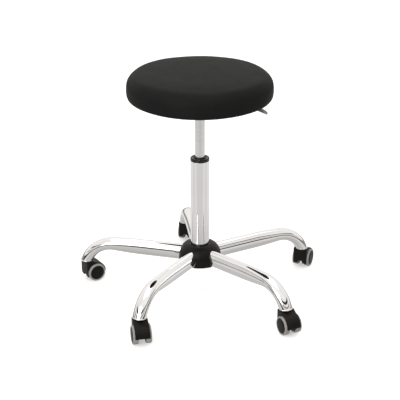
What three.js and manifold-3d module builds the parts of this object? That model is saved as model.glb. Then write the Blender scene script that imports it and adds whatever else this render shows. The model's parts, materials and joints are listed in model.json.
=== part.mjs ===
// Adjustable swivel stool: a round padded seat on a gas lift, over a five-leg base on twin-wheel castors.
// Millimetres, +Z up, the origin on the floor under the column, the seat fully raised.
import * as THREE from 'three';
import { mergeVertices } from 'three/addons/utils/BufferGeometryUtils.js';
import Module from 'manifold-3d';

// ---- driving dimensions -------------------------------------------------
const fitGap = 0.3;            // between pieces that rest on or fit in each other
const runGap = 0.6;            // between pieces that turn or slide on each other

// castors
const wheelRadius = 25;
const wheelWidth = 14;
const wheelTrack = 33.4;       // between the middles of the two wheels
const tyreDepth = 4.6;
const capDome = 1.5;           // how far a wheel's cap stands out past its tyre
const axleRadius = 3;
const wheelEndWall = 5.6;      // solid wheel beyond the end of its bore
const castorTrail = 18.8;      // from the stem's axis to the axle
const hoodWidth = 38.5;
const fenderClearance = 1.3;
const fenderWall = 1.7;
const towerRise = 7.6;         // from the top of the fender to the top of the hood
const towerBack = 8;           // from the stem's axis to where the hood's top starts to slope
const towerChamfer = 1;
const fenderStart = 84.6;      // direction from the axle to where the slope meets the fender, in degrees
const webWall = 1.6;           // on each side of the gap between the wheels
const bossWall = 4;            // around the axle
const skirtHeight = 13;        // from the floor to the hood's lower edge at the back
const visorHeight = 23.8;      // from the floor to the hood's lower edge at the front
const archHeight = 23.4;       // from the floor to the top of the gap between the wheels
const stemRadius = 5.5;
const stemInLeg = 18;
const stemInHood = 14;
const stemGroove = 1;          // depth of the groove near the stem's top
const capEdge = 3.5;           // width of the slope around a wheel's cap
const capStep = 0.7;           // height of the dome inside that slope

// base
const legCount = 5;
const baseTurn = 25.5;         // direction of the first leg, in degrees
const castorTurns = [66, 72, 31, -77, -64];   // which way each castor trails
const legReach = 316;          // from the column's axis to a castor's stem
const legBendRadius = 82;
const legRise = 2.2;           // slope of the straight stretch, in degrees
const legFall = 70;            // slope of the leg at its outer end, in degrees
const hubDepth = 43.5;         // a leg's section at the hub, upright and across
const hubWidth = 31.5;
const endDepth = 31;           // a leg's section at its outer end
const endWidth = 37;
const legWall = 1.8;
const legPlugLength = 24;
const swivelGap = 0.6;         // between a castor's hood and the leg above it

// hub
const socketWall = 8;
const coverReach = 23.2;       // from the hub socket's outer face to the cover's
const coverMouthGap = 2;       // between the column and the cover's mouth
const coverLipWidth = 2.5;
const coverAboveLeg = 32;      // from a leg's centreline at the hub up to the cover's top
const coverBelowLeg = 19.5;    // from the same line down to the cover's lower edge
const coverWall = 2.5;
const coverDrop = 1.2;         // how far the cover's top slopes down under its lip
const coverGap = 1.0;          // around each leg in its window
const legStart = 8;            // how far a leg starts inside the socket's face, before it is cut to fit
const legPast = 14;            // how far a leg runs past its last station, before its end is cut level

// column and gas lift
const columnRadius = 25;
const columnWall = 1.5;
const columnHeight = 286;
const columnFloor = 4;
const columnInset = 2;         // from the cover's lower edge up to the column's
const bushLip = 8;
const bushDepth = 76;
const tubeRadius = 13;
const tubeWall = 1.6;
const tubeTaper = 1.0;         // how much the pressure tube narrows in its socket
const tubeOverlap = 130;       // of the pressure tube in the column, fully raised
const tubeEnd = 6;             // thickness of the pressure tube's lower end
const rodRadius = 5;
const rodFoot = 6;             // how far the rod stands out under the column
const rodGroove = 1;           // depth of the groove for the clip
const pistonHeight = 8;
const pistonGap = 1.3;         // between the piston and the tube's lower end, fully raised
const bearingHeight = 5;
const bufferHeight = 17;
const clipThickness = 1.5;
const clipReach = 4.5;         // of the clip past the rod's surface
const bearingReach = 9;        // of the bearing past the rod's surface
const bufferReach = 8;         // of the buffer past the rod's surface
const bufferWaist = 1.5;       // how much the buffer narrows at mid height

// seat and its mechanism
const seatAboveColumn = 169.5;  // fully raised
const seatRadius = 187.5;
const seatUpper = 31;          // from the widest line up to the edge of the crown
const seatLower = 34;          // from the widest line down to the underside
const seatCrown = 3;
const upperRound = 27.7;
const upperPower = 1.9;        // of the superellipse that rounds the upper edge
const lowerRound = 19;
const lowerPower = 3;
const skinWall = 1.6;
const boardRadius = 165;
const boardThickness = 12;
const skinMouthRadius = 120;
const plateSize = 160;
const plateThickness = 3;
const boltSpacing = 124;
const boltRadius = 3;
const boltHeadRadius = 6.5;
const boltHeadHeight = 4;
const socketLength = 44;
const mountSocketWall = 6;     // from the pressure tube to the outside of the plate's socket
const plateCorner = 12;
const leverRoom = 16.6;        // between the plate and the top of the pressure tube
const buttonRadius = 4.5;
const buttonRise = 5;
const buttonLength = 13;
const leverRadius = 3.5;
const leverTurn = -15;         // direction of the lever, in degrees
const pivotReach = 35;         // from the column's axis to the lever's pivot
const leverInner = 40;         // from the pivot to the lever's inner end
const bushRadius = 6;
const bushWidth = 12;
const trunnionRadius = 2.5;
const cheekThickness = 3;
const cheekWidth = 14;
const cheekBelow = 4;          // of a cheek under the lever's trunnion

// ---- places worked out from them ----------------------------------------
const tyreSides = 24;
const seatSides = 36;
const axleHeight = wheelRadius * Math.cos(Math.PI / tyreSides);
const fenderRadius = wheelRadius + fenderClearance + fenderWall;
const hoodTop = axleHeight + fenderRadius + towerRise;
const legEndHeight = hoodTop + swivelGap;
const rise = THREE.MathUtils.degToRad(legRise);
const fall = THREE.MathUtils.degToRad(-legFall);
const bendStart = legReach - legBendRadius * (Math.sin(rise) - Math.sin(fall));
const bendHeight = legEndHeight + legBendRadius * (Math.cos(rise) - Math.cos(fall));
const columnInner = columnRadius - columnWall;
const socketRadius = columnRadius + fitGap + socketWall;
const hubLine = bendHeight - (bendStart - socketRadius) * Math.tan(rise);
const coverTop = hubLine + coverAboveLeg;
const coverRadius = socketRadius + coverReach;
const coverMouthRadius = columnRadius + coverMouthGap;
const coverLipRadius = coverMouthRadius + coverLipWidth;
const coverCeiling = coverTop - coverWall - coverDrop;
const coverBottom = hubLine - coverBelowLeg;
const columnBottom = coverBottom + columnInset;
const columnTop = columnBottom + columnHeight;
const bushTop = columnTop + bushLip;
const seatBottom = columnTop + seatAboveColumn;
const seatEdge = seatBottom + seatLower;
const plateTop = seatBottom + skinWall;
const plateBottom = plateTop - plateThickness;
const boardBottom = plateTop + fitGap;
const boardTop = boardBottom + boardThickness;
const tubeTop = plateBottom - leverRoom;
const tubeBottom = columnTop - tubeOverlap;
const mountSocketRadius = tubeRadius + mountSocketWall;
const buttonTop = tubeTop + buttonRise;
const leverLine = buttonTop + leverRadius + fitGap;
const socketBottom = plateBottom - socketLength;

// ---- solids --------------------------------------------------------------
const wasm = await Module();
wasm.setup();

// Six times the signed volume under one triangle.
function wedge(p, a, b, c) {
  const u = new THREE.Vector3().fromArray(p, 3 * a);
  const v = new THREE.Vector3().fromArray(p, 3 * b);
  const w = new THREE.Vector3().fromArray(p, 3 * c);
  return u.dot(v.cross(w));
}

// A closed solid from a geometry, with its faces pointing out.
function solid(geometry) {
  const bare = geometry.clone();
  bare.deleteAttribute('normal');
  bare.deleteAttribute('uv');
  const merged = mergeVertices(bare, 1e-3);
  const points = merged.getAttribute('position').array;
  const index = merged.getIndex().array;
  const corners = [];
  let volume = 0;
  for (let i = 0; i < index.length; i += 3) {
    const [a, b, c] = [index[i], index[i + 1], index[i + 2]];
    if (a === b || b === c || c === a) continue;
    corners.push([a, b, c]);
    volume += wedge(points, a, b, c);
  }
  const outward = volume > 0 ? corners : corners.map(([a, b, c]) => [a, c, b]);
  const triVerts = new Uint32Array(outward.flat());
  const vertProperties = new Float32Array(points);
  return new wasm.Manifold(new wasm.Mesh({ numProp: 3, vertProperties, triVerts }));
}

// A geometry from a closed solid.
function shape(body) {
  const mesh = body.getMesh();
  const geometry = new THREE.BufferGeometry();
  const flat = new Float32Array(mesh.numVert * 3);
  for (let i = 0; i < mesh.numVert; i++) {
    for (let k = 0; k < 3; k++) flat[3 * i + k] = mesh.vertProperties[mesh.numProp * i + k];
  }
  geometry.setAttribute('position', new THREE.BufferAttribute(flat, 3));
  geometry.setIndex(Array.from(mesh.triVerts));
  geometry.computeVertexNormals();
  return geometry;
}

function join(first, ...others) {
  return others.reduce((whole, next) => whole.add(next), first);
}

function cut(first, ...others) {
  return others.reduce((whole, next) => whole.subtract(next), first);
}

// A body of revolution about Z from [radius, height] points.
function revolve(profile, sides) {
  const points = profile.map(([r, z]) => new THREE.Vector2(Math.max(r, 0), z));
  const first = points[0];
  const last = points[points.length - 1];
  if (first.x > 0 || last.x > 0) points.push(first.clone());
  const geometry = new THREE.LatheGeometry(points, sides);
  geometry.rotateX(Math.PI / 2);
  return solid(geometry);
}

function disc(radius, bottom, top, sides = 24) {
  return revolve([[0, bottom], [radius, bottom], [radius, top], [0, top]], sides);
}

function ring(inner, outer, bottom, top, sides = 24) {
  return revolve([[inner, bottom], [outer, bottom], [outer, top], [inner, top]], sides);
}

function box(sizeX, sizeY, sizeZ, x, y, z) {
  const geometry = new THREE.BoxGeometry(sizeX, sizeY, sizeZ);
  geometry.translate(x, y, z);
  return solid(geometry);
}

// A body turned so that its axis, +Z, lies along +Y.
function alongY(body) {
  return body.rotate([-90, 0, 0]);
}

// An outline in X and Z, drawn out along Y, with its middle at y = 0.
function slab(outline, width, segments = 12) {
  const settings = { depth: width, bevelEnabled: false, curveSegments: segments };
  const geometry = new THREE.ExtrudeGeometry(outline, settings);
  geometry.translate(0, 0, -width / 2);
  geometry.rotateX(Math.PI / 2);
  return solid(geometry);
}

// A closed body through a row of rings that all have the same number of points.
function loft(rings) {
  const count = rings[0].length;
  const points = rings.flat().flatMap((p) => [p.x, p.y, p.z]);
  const index = [];
  for (let r = 0; r + 1 < rings.length; r++) {
    for (let i = 0; i < count; i++) {
      const a = r * count + i;
      const b = r * count + (i + 1) % count;
      index.push(a, b, b + count, a, b + count, a + count);
    }
  }
  for (const [start, near] of [[0, true], [(rings.length - 1) * count, false]]) {
    for (let i = 1; i + 1 < count; i++) {
      const [b, c] = near ? [start + i + 1, start + i] : [start + i, start + i + 1];
      index.push(start, b, c);
    }
  }
  const geometry = new THREE.BufferGeometry();
  geometry.setAttribute('position', new THREE.Float32BufferAttribute(points, 3));
  geometry.setIndex(index);
  return solid(geometry);
}

// An oval ring about a point of a path in the XZ plane, square to the path's slope.
function oval(x, z, slope, depth, width, count) {
  const points = [];
  for (let i = 0; i < count; i++) {
    const turn = 2 * Math.PI * (i + 0.5) / count;
    const up = depth / 2 * Math.sin(turn);
    const side = width / 2 * Math.cos(turn);
    points.push(new THREE.Vector3(x - up * Math.sin(slope), side, z + up * Math.cos(slope)));
  }
  return points;
}

function piece(name, body, colour, roughness, metalness) {
  const material = new THREE.MeshStandardMaterial({ color: colour, roughness, metalness });
  const mesh = new THREE.Mesh(shape(body), material);
  mesh.name = name;
  return mesh;
}

const chrome = [0xd8d9da, 0.08, 1];
const satinSteel = [0xb2b2b2, 0.35, 1];
const zincSteel = [0x9a9da0, 0.45, 1];
const springSteel = [0x55585c, 0.4, 1];
const blackPlastic = [0x2b2928, 0.4, 0];
const greyPlastic = [0x8f8b8a, 0.5, 0];
const greyRubber = [0x8a8683, 0.75, 0];
const blackRubber = [0x1c1c1c, 0.8, 0];
const leatherette = [0x303030, 0.5, 0];
const foam = [0xd9cfae, 0.95, 0];
const plywood = [0x2a2724, 0.7, 0];

// ---- castors -------------------------------------------------------------
// In a castor's own frame the stem stands on the origin and the axle lies along Y at x = castorTrail.

function hoodBody() {
  const [x, z] = [castorTrail, axleHeight];
  const skirtTurn = Math.asin((skirtHeight - z) / fenderRadius);
  const visorTurn = Math.asin((visorHeight - z) / fenderRadius);
  const outline = new THREE.Shape();
  outline.absarc(x, z, fenderRadius, Math.PI - skirtTurn, Math.PI, true);
  outline.lineTo(x - fenderRadius, hoodTop - towerChamfer);
  outline.lineTo(x - fenderRadius + towerChamfer, hoodTop);
  outline.lineTo(towerBack, hoodTop);
  outline.absarc(x, z, fenderRadius, THREE.MathUtils.degToRad(fenderStart), visorTurn, true);
  let hood = slab(outline, hoodWidth, 8);

  const webHalf = (wheelTrack - wheelWidth) / 2 - runGap;
  const pocketRadius = wheelRadius + fenderClearance;
  for (const side of [-1, 1]) {
    const from = side > 0 ? webHalf : -hoodWidth;
    const pocket = alongY(disc(pocketRadius, 0, hoodWidth - webHalf, 16)).translate([x, from, z]);
    hood = cut(hood, pocket);
  }

  const tunnelHalf = webHalf - webWall;
  const tunnel = new THREE.Shape();
  tunnel.moveTo(-tunnelHalf, -1);
  tunnel.lineTo(-tunnelHalf, archHeight - tunnelHalf);
  tunnel.absarc(0, archHeight - tunnelHalf, tunnelHalf, Math.PI, 0, true);
  tunnel.lineTo(tunnelHalf, -1);
  const arch = slab(tunnel, 4 * fenderRadius, 5).rotate([0, 0, 90]);
  const boss = alongY(disc(axleRadius + bossWall, -webHalf, webHalf, 10)).translate([x, 0, z]);
  hood = join(cut(hood, arch), boss);

  const axleHole = alongY(disc(axleRadius + fitGap, -hoodWidth, hoodWidth, 8)).translate([x, 0, z]);
  const stemHole = disc(stemRadius + fitGap, hoodTop - stemInHood, hoodTop + 1, 10);
  return cut(hood, axleHole, stemHole);
}

function stemBody() {
  const bottom = hoodTop - stemInHood + fitGap;
  const top = legEndHeight + stemInLeg;
  const groove = top - 6 * stemGroove;
  return revolve([
    [0, bottom], [stemRadius, bottom], [stemRadius, groove], [stemRadius - stemGroove, groove + stemGroove],
    [stemRadius - stemGroove, groove + 3 * stemGroove], [stemRadius, groove + 4 * stemGroove],
    [stemRadius - 1.5 * stemGroove, top], [0, top],
  ], 10);
}

function wheelBody() {
  const rim = wheelRadius - tyreDepth - fitGap;
  const boreDepth = wheelWidth - wheelEndWall;
  const bore = axleRadius + runGap;
  return revolve([
    [0, boreDepth], [bore, boreDepth], [bore, runGap], [rim, runGap], [rim, wheelWidth - 1],
    [rim - capEdge, wheelWidth + capDome - capStep], [0, wheelWidth + capDome],
  ], 16);
}

function tyreBody() {
  return ring(wheelRadius - tyreDepth, wheelRadius, 0, wheelWidth, tyreSides);
}

// The body turned to lie along Y, with a flat of its rim facing down.
function rolled(body) {
  return alongY(body.rotate([0, 0, 180 / tyreSides]));
}

function castor(number) {
  const group = new THREE.Group();
  const name = `castor_${number}`;
  const hub = [castorTrail, 0, axleHeight];
  const inner = (wheelTrack - wheelWidth) / 2;
  const axleHalf = inner + wheelWidth - wheelEndWall - runGap;
  const axle = alongY(disc(axleRadius, -axleHalf, axleHalf, 8)).translate(hub);
  group.add(piece(`${name}_hood`, hoodBody(), ...blackPlastic));
  group.add(piece(`${name}_stem`, stemBody(), ...zincSteel));
  group.add(piece(`${name}_axle`, axle, ...zincSteel));
  for (const [side, turn] of [['left', 0], ['right', 180]]) {
    const pair = new THREE.Group();
    const wheel = piece(`${name}_wheel_${side}`, rolled(wheelBody()), ...blackPlastic);
    const tyre = piece(`${name}_tyre_${side}`, rolled(tyreBody()), ...greyRubber);
    wheel.position.y = inner;
    tyre.position.y = inner;
    pair.add(wheel, tyre);
    pair.rotation.z = THREE.MathUtils.degToRad(turn);
    pair.position.set(...hub);
    group.add(pair);
  }
  return group;
}

// ---- base ----------------------------------------------------------------

// Points along a leg's centreline, in the leg's own XZ plane, from x = start to the outer end.
function legPath(start) {
  const path = [];
  const straight = [start, legReach * 0.5, legReach * 0.62].filter((x) => x < bendStart - 8);
  for (const x of straight) path.push({ x, z: bendHeight - (bendStart - x) * Math.tan(rise), slope: rise });
  const steps = 6;
  for (let i = 0; i <= steps; i++) {
    const slope = rise + (fall - rise) * i / steps;
    const x = bendStart + legBendRadius * (Math.sin(rise) - Math.sin(slope));
    const z = bendHeight - legBendRadius * (Math.cos(rise) - Math.cos(slope));
    path.push({ x, z, slope });
  }
  return path;
}

// A leg's section narrows upright and widens across over its outer half.
function legRing(point, inset, count) {
  const share = THREE.MathUtils.smoothstep(point.x, legReach * 0.52, legReach * 0.93);
  const depth = THREE.MathUtils.lerp(hubDepth, endDepth, share) - 2 * inset;
  const width = THREE.MathUtils.lerp(hubWidth, endWidth, share) - 2 * inset;
  return oval(point.x, point.z, point.slope, depth, width, count);
}

function legBody() {
  const sides = 10;
  const outerPath = legPath(socketRadius - legStart);
  const last = outerPath[outerPath.length - 1];
  const end = { x: last.x + legPast * Math.cos(fall), z: last.z + legPast * Math.sin(fall), slope: fall };
  const outer = loft([...outerPath, end].map((point) => legRing(point, 0, sides)));
  const keep = legPath(socketRadius - legStart - 4).filter((point) => (
    point.x < bendStart || (fall - point.slope) * -legBendRadius > legPlugLength
  ));
  const hollow = loft(keep.map((point) => legRing(point, legWall, sides)));
  const below = box(120, 120, 60, legReach, 0, legEndHeight - 30);
  const hub = disc(socketRadius + fitGap, 0, 300, 30);
  const bore = disc(stemRadius + runGap, 0, legEndHeight + stemInLeg + 1, 10).translate([legReach, 0, 0]);
  return cut(outer, hollow, below, hub, bore);
}

function hubSocketBody() {
  return ring(columnRadius + fitGap, socketRadius, coverBottom, coverCeiling - fitGap, 30);
}

// A window through the cover's wall for one leg, oval like the leg and open where it meets the lower edge.
function legWindow(direction) {
  const half = hubWidth / 2 + coverGap;
  const up = hubDepth / 2 + coverGap;
  const outline = new THREE.Shape();
  outline.absellipse(0, 0, half, up, 0, 2 * Math.PI, false);
  const window = slab(outline, coverRadius, 12).rotate([0, 0, 90]);
  return window.translate([socketRadius + coverRadius / 2, 0, hubLine + 0.5]).rotate([0, 0, direction]);
}

function hubCoverBody() {
  const height = coverTop - coverBottom;
  const outer = [
    [coverLipRadius, coverTop], [coverLipRadius + 5, coverTop - coverDrop],
    [coverRadius * 0.76, coverTop - height * 0.1], [coverRadius * 0.88, coverTop - height * 0.24],
    [coverRadius * 0.96, coverTop - height * 0.42], [coverRadius, coverTop - height * 0.66],
    [coverRadius, coverBottom],
  ];
  const inner = [
    [coverRadius - coverWall, coverBottom], [coverRadius - coverWall, coverTop - height * 0.62],
    [coverRadius * 0.84, coverTop - height * 0.32], [coverRadius * 0.74, coverTop - coverWall - height * 0.12],
    [socketRadius + 1, coverCeiling], [coverMouthRadius, coverCeiling],
  ];
  let cover = revolve([...outer, ...inner, [coverMouthRadius, coverTop]], 25);
  for (let k = 0; k < legCount; k++) cover = cut(cover, legWindow(baseTurn + 360 / legCount * k));
  return cover;
}

// ---- column and gas lift -------------------------------------------------

function columnBody() {
  const hole = rodRadius + runGap;
  const floor = columnBottom + columnFloor;
  return revolve([
    [hole, columnBottom], [columnRadius, columnBottom], [columnRadius, columnTop],
    [columnInner, columnTop], [columnInner, floor], [hole, floor],
  ], 24);
}

function guideBushBody() {
  const bore = tubeRadius + runGap;
  const seat = columnTop + fitGap;
  return revolve([
    [bore, columnTop - bushDepth], [columnInner - fitGap, columnTop - bushDepth], [columnInner - fitGap, seat],
    [columnRadius, seat], [columnRadius, bushTop - 3], [columnRadius - 1, bushTop - 0.8],
    [columnRadius - 3, bushTop], [tubeRadius + 4, bushTop - 2], [bore, bushTop - 5],
  ], 24);
}

function pressureTubeBody() {
  const inner = tubeRadius - tubeWall;
  const hole = rodRadius + runGap;
  const neck = tubeRadius - tubeTaper;
  const valve = buttonRadius + runGap;
  const valveDepth = buttonLength - buttonRise + 6;
  const tube = revolve([
    [hole, tubeBottom], [tubeRadius, tubeBottom], [tubeRadius, socketBottom], [neck, tubeTop],
    [0, tubeTop], [0, tubeTop - valveDepth - 3], [inner - tubeTaper, tubeTop - valveDepth - 3],
    [inner, socketBottom], [inner, tubeBottom + tubeEnd], [hole, tubeBottom + tubeEnd],
  ], 24);
  return cut(tube, disc(valve, tubeTop - valveDepth, tubeTop + 1, 12));
}

function releaseButtonBody() {
  const bottom = buttonTop - buttonLength;
  return revolve([
    [0, bottom], [buttonRadius, bottom], [buttonRadius, buttonTop - 1], [buttonRadius - 1, buttonTop], [0, buttonTop],
  ], 12);
}

function pistonRodBody() {
  const bottom = columnBottom - rodFoot;
  const groove = columnBottom - fitGap;
  const piston = tubeBottom + tubeEnd + pistonGap;
  return revolve([
    [0, bottom], [rodRadius, bottom], [rodRadius, groove - clipThickness - fitGap],
    [rodRadius - rodGroove, groove - clipThickness - fitGap], [rodRadius - rodGroove, groove],
    [rodRadius, groove],
    [rodRadius, piston], [tubeRadius - tubeWall - fitGap, piston],
    [tubeRadius - tubeWall - fitGap, piston + pistonHeight], [0, piston + pistonHeight],
  ], 20);
}

function clipBody() {
  const top = columnBottom - fitGap - fitGap / 2;
  return ring(rodRadius - rodGroove + fitGap, rodRadius + clipReach, top - clipThickness, top, 16);
}

function bearingBody() {
  const floor = columnBottom + columnFloor + fitGap;
  return ring(rodRadius + runGap, rodRadius + bearingReach, floor, floor + bearingHeight, 16);
}

function bufferBody() {
  const floor = columnBottom + columnFloor + bearingHeight + 2 * fitGap;
  const wide = rodRadius + bufferReach;
  const narrow = wide - bufferWaist;
  const middle = floor + bufferHeight / 2;
  return revolve([
    [rodRadius + fitGap, floor], [wide, floor], [narrow, middle], [wide, floor + bufferHeight],
    [rodRadius + fitGap, floor + bufferHeight],
  ], 16);
}

// ---- seat ----------------------------------------------------------------

// A quarter of a rounded edge from the widest line, by a superellipse of the given power.
function edge(radius, round, height, power, steps, inset) {
  const points = [];
  for (let i = 0; i <= steps; i++) {
    const turn = Math.PI / 2 * i / steps;
    const out = Math.abs(Math.cos(turn)) ** (2 / power);
    const up = Math.sin(turn) ** (2 / power);
    points.push([radius - round + (round - inset) * out, seatEdge + height * up]);
  }
  return points;
}

function seatProfile(inset, steps) {
  const upper = edge(seatRadius, upperRound, seatUpper - inset, upperPower, steps, inset);
  const lower = edge(seatRadius, lowerRound, inset - seatLower, lowerPower, steps, inset);
  const crown = [0.66, 0.33, 0].map((share) => {
    const radius = (seatRadius - upperRound) * share;
    return [radius, seatEdge + seatUpper - inset + seatCrown * (1 - share ** 2)];
  });
  return [...lower.reverse(), ...upper.slice(1), ...crown];
}

function seatCoverBody() {
  const outer = seatProfile(0, 4);
  const inner = seatProfile(skinWall, 4).reverse();
  return revolve([...outer, ...inner, [skinMouthRadius, plateTop], [skinMouthRadius, seatBottom]], seatSides);
}

function seatFoamBody() {
  const inset = skinWall + fitGap;
  const floor = boardTop + fitGap;
  const profile = seatProfile(inset, 4).filter(([, z]) => z > floor + 1);
  return revolve([[0, floor], [boardRadius, floor], ...profile], seatSides);
}

function corners(spacing) {
  const half = spacing / 2;
  return [[half, half], [-half, half], [-half, -half], [half, -half]];
}

function seatBoardBody() {
  let board = disc(boardRadius, boardBottom, boardTop, seatSides);
  for (const [x, y] of corners(boltSpacing)) {
    board = cut(board, disc(boltRadius + fitGap, boardBottom - 1, boardTop + 1, 12).translate([x, y, 0]));
  }
  return board;
}

function seatBoltBody() {
  const seat = plateBottom - fitGap;
  return revolve([
    [0, seat - boltHeadHeight], [boltHeadRadius - 1.5, seat - boltHeadHeight], [boltHeadRadius, seat - 1.2],
    [boltHeadRadius, seat], [boltRadius, seat], [boltRadius, boardTop - 1], [0, boardTop - 1],
  ], 12);
}

function roundedSquare(size, radius) {
  const half = size / 2;
  const outline = new THREE.Shape();
  outline.moveTo(half, -half + radius);
  outline.lineTo(half, half - radius);
  outline.absarc(half - radius, half - radius, radius, 0, Math.PI / 2, false);
  outline.absarc(-half + radius, half - radius, radius, Math.PI / 2, Math.PI, false);
  outline.absarc(-half + radius, -half + radius, radius, Math.PI, Math.PI * 1.5, false);
  outline.absarc(half - radius, -half + radius, radius, -Math.PI / 2, 0, false);
  return outline;
}

// The two cheeks that hold the lever's bush, in the lever's own frame.
function cheekBodies() {
  const drop = plateBottom - leverLine + trunnionRadius + cheekBelow;
  const middle = plateBottom + 0.5 - drop / 2;
  const away = bushWidth / 2 + fitGap + cheekThickness / 2;
  return [-1, 1].map((side) => {
    const cheek = box(cheekWidth, cheekThickness, drop + 1, pivotReach, side * away, middle);
    const hole = alongY(disc(trunnionRadius + runGap, -20, 20, 12)).translate([pivotReach, 0, leverLine]);
    return cut(cheek, hole);
  });
}

function mountingPlateBody() {
  const settings = { depth: plateThickness, bevelEnabled: false, curveSegments: 4 };
  const geometry = new THREE.ExtrudeGeometry(roundedSquare(plateSize, plateCorner), settings);
  geometry.translate(0, 0, plateBottom);
  const neck = tubeRadius - tubeTaper;
  const tight = fitGap + 0.1;
  const chamber = tubeRadius + 0.5;
  const socket = revolve([
    [tubeRadius + tight, socketBottom], [mountSocketRadius, socketBottom],
    [mountSocketRadius, plateBottom + 0.5], [chamber, plateBottom + 0.5],
    [chamber, tubeTop + 1], [neck + tight, tubeTop],
  ], 24);
  const slotMiddle = tubeTop + leverRoom / 2;
  const slot = box(mountSocketRadius * 2, leverRadius * 2 + 3, leverRoom - 3, mountSocketRadius, 0, slotMiddle);
  let plate = join(solid(geometry), socket.subtract(slot.rotate([0, 0, leverTurn])));
  for (const cheek of cheekBodies()) plate = join(plate, cheek.rotate([0, 0, leverTurn]));
  for (const [x, y] of corners(boltSpacing)) {
    plate = cut(plate, disc(boltRadius + fitGap, plateBottom - 1, plateTop + 1, 12).translate([x, y, 0]));
  }
  return plate;
}

// The lever: a round rod that flattens into a paddle and curves down at its outer end.
function leverBody() {
  const stations = [
    [-leverInner, 0, 0, 1, 1], [20, 0, 0, 1, 1], [45, -1, -2, 1, 1], [70, -2.2, -3, 1.3, 0.95],
    [88, -3.4, -5, 2.6, 0.8], [102, -4.8, -7, 3.4, 0.72], [118, -7.6, -13, 3.7, 0.7],
    [130, -11.8, -22, 3.5, 0.66], [138, -15.8, -31, 2.7, 0.6], [141.5, -18.6, -38, 1.6, 0.4],
  ];
  const rings = stations.map(([x, z, slope, wide, thick]) => {
    const angle = THREE.MathUtils.degToRad(slope);
    return oval(x, z, angle, 2 * leverRadius * thick, 2 * leverRadius * wide, 8);
  });
  return loft(rings);
}

function leverBushBody() {
  const half = bushWidth / 2;
  const arm = half + cheekThickness;
  const drum = alongY(revolve([
    [0, -arm], [trunnionRadius, -arm], [trunnionRadius, -half], [bushRadius, -half],
    [bushRadius, half], [trunnionRadius, half], [trunnionRadius, arm], [0, arm],
  ], 12));
  const hole = disc(leverRadius + fitGap, -20, 20, 10).rotate([0, 90, 0]);
  return cut(drum, hole);
}

// ---- assembly ------------------------------------------------------------

const stool = new THREE.Group();

for (let k = 0; k < legCount; k++) {
  const arm = new THREE.Group();
  arm.rotation.z = THREE.MathUtils.degToRad(baseTurn + 360 / legCount * k);
  arm.add(piece(`leg_${k + 1}`, legBody(), ...chrome));
  const foot = castor(k + 1);
  foot.position.x = legReach;
  foot.rotation.z = THREE.MathUtils.degToRad(castorTurns[k]) - arm.rotation.z;
  arm.add(foot);
  stool.add(arm);
}

stool.add(piece('hub_socket', hubSocketBody(), ...zincSteel));
stool.add(piece('hub_cover', hubCoverBody(), ...blackPlastic));
stool.add(piece('column_tube', columnBody(), ...chrome));
stool.add(piece('guide_bush', guideBushBody(), ...blackPlastic));
stool.add(piece('thrust_bearing', bearingBody(), ...zincSteel));
stool.add(piece('rubber_buffer', bufferBody(), ...blackRubber));
stool.add(piece('retaining_clip', clipBody(), ...springSteel));
stool.add(piece('piston_rod', pistonRodBody(), ...chrome));
stool.add(piece('pressure_tube', pressureTubeBody(), ...satinSteel));
stool.add(piece('release_button', releaseButtonBody(), ...zincSteel));
stool.add(piece('mounting_plate', mountingPlateBody(), ...blackPlastic));
stool.add(piece('seat_board', seatBoardBody(), ...plywood));
stool.add(piece('seat_foam', seatFoamBody(), ...foam));
stool.add(piece('seat_cover', seatCoverBody(), ...leatherette));

corners(boltSpacing).forEach(([x, y], k) => {
  const bolt = piece(`seat_bolt_${k + 1}`, seatBoltBody(), ...zincSteel);
  bolt.position.set(x, y, 0);
  stool.add(bolt);
});

const lever = new THREE.Group();
const leverPivot = new THREE.Group();
leverPivot.position.set(pivotReach, 0, leverLine);
leverPivot.add(piece('height_lever', leverBody(), ...greyPlastic));
leverPivot.add(piece('lever_bush', leverBushBody(), ...blackPlastic));
lever.add(leverPivot);
lever.rotation.z = THREE.MathUtils.degToRad(leverTurn);
stool.add(lever);

export default stool;
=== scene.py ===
import json
import math

import bmesh
import bpy
import numpy
from mathutils import Matrix, Vector


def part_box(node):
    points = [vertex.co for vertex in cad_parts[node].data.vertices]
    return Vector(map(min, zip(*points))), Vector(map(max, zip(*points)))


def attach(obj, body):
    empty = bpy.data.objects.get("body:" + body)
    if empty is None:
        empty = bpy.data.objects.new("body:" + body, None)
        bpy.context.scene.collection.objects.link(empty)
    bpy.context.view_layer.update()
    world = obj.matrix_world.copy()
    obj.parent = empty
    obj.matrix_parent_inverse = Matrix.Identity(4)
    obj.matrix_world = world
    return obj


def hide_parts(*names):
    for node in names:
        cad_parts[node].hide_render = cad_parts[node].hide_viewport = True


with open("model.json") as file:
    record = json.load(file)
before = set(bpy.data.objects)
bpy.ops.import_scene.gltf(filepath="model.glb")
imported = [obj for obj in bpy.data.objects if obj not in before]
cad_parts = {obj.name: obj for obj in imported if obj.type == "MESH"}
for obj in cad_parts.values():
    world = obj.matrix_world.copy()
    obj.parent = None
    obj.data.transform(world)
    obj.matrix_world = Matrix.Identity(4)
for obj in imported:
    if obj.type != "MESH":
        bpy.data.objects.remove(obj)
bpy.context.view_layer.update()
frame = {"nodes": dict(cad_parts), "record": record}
record = frame["record"]
joints = {joint["name"]: joint for joint in record["behaviour"]["joints"]}
MM = 0.001

# ---- sizes, in millimetres ------------------------------------------------
ROUND_SIDES = 96
FIT_GAP = 0.3                # between pieces that stay still on each other
RUN_GAP = 0.6                # between pieces that move past each other
OVERLAP = 0.4                # how far joined solids reach into each other

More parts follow.
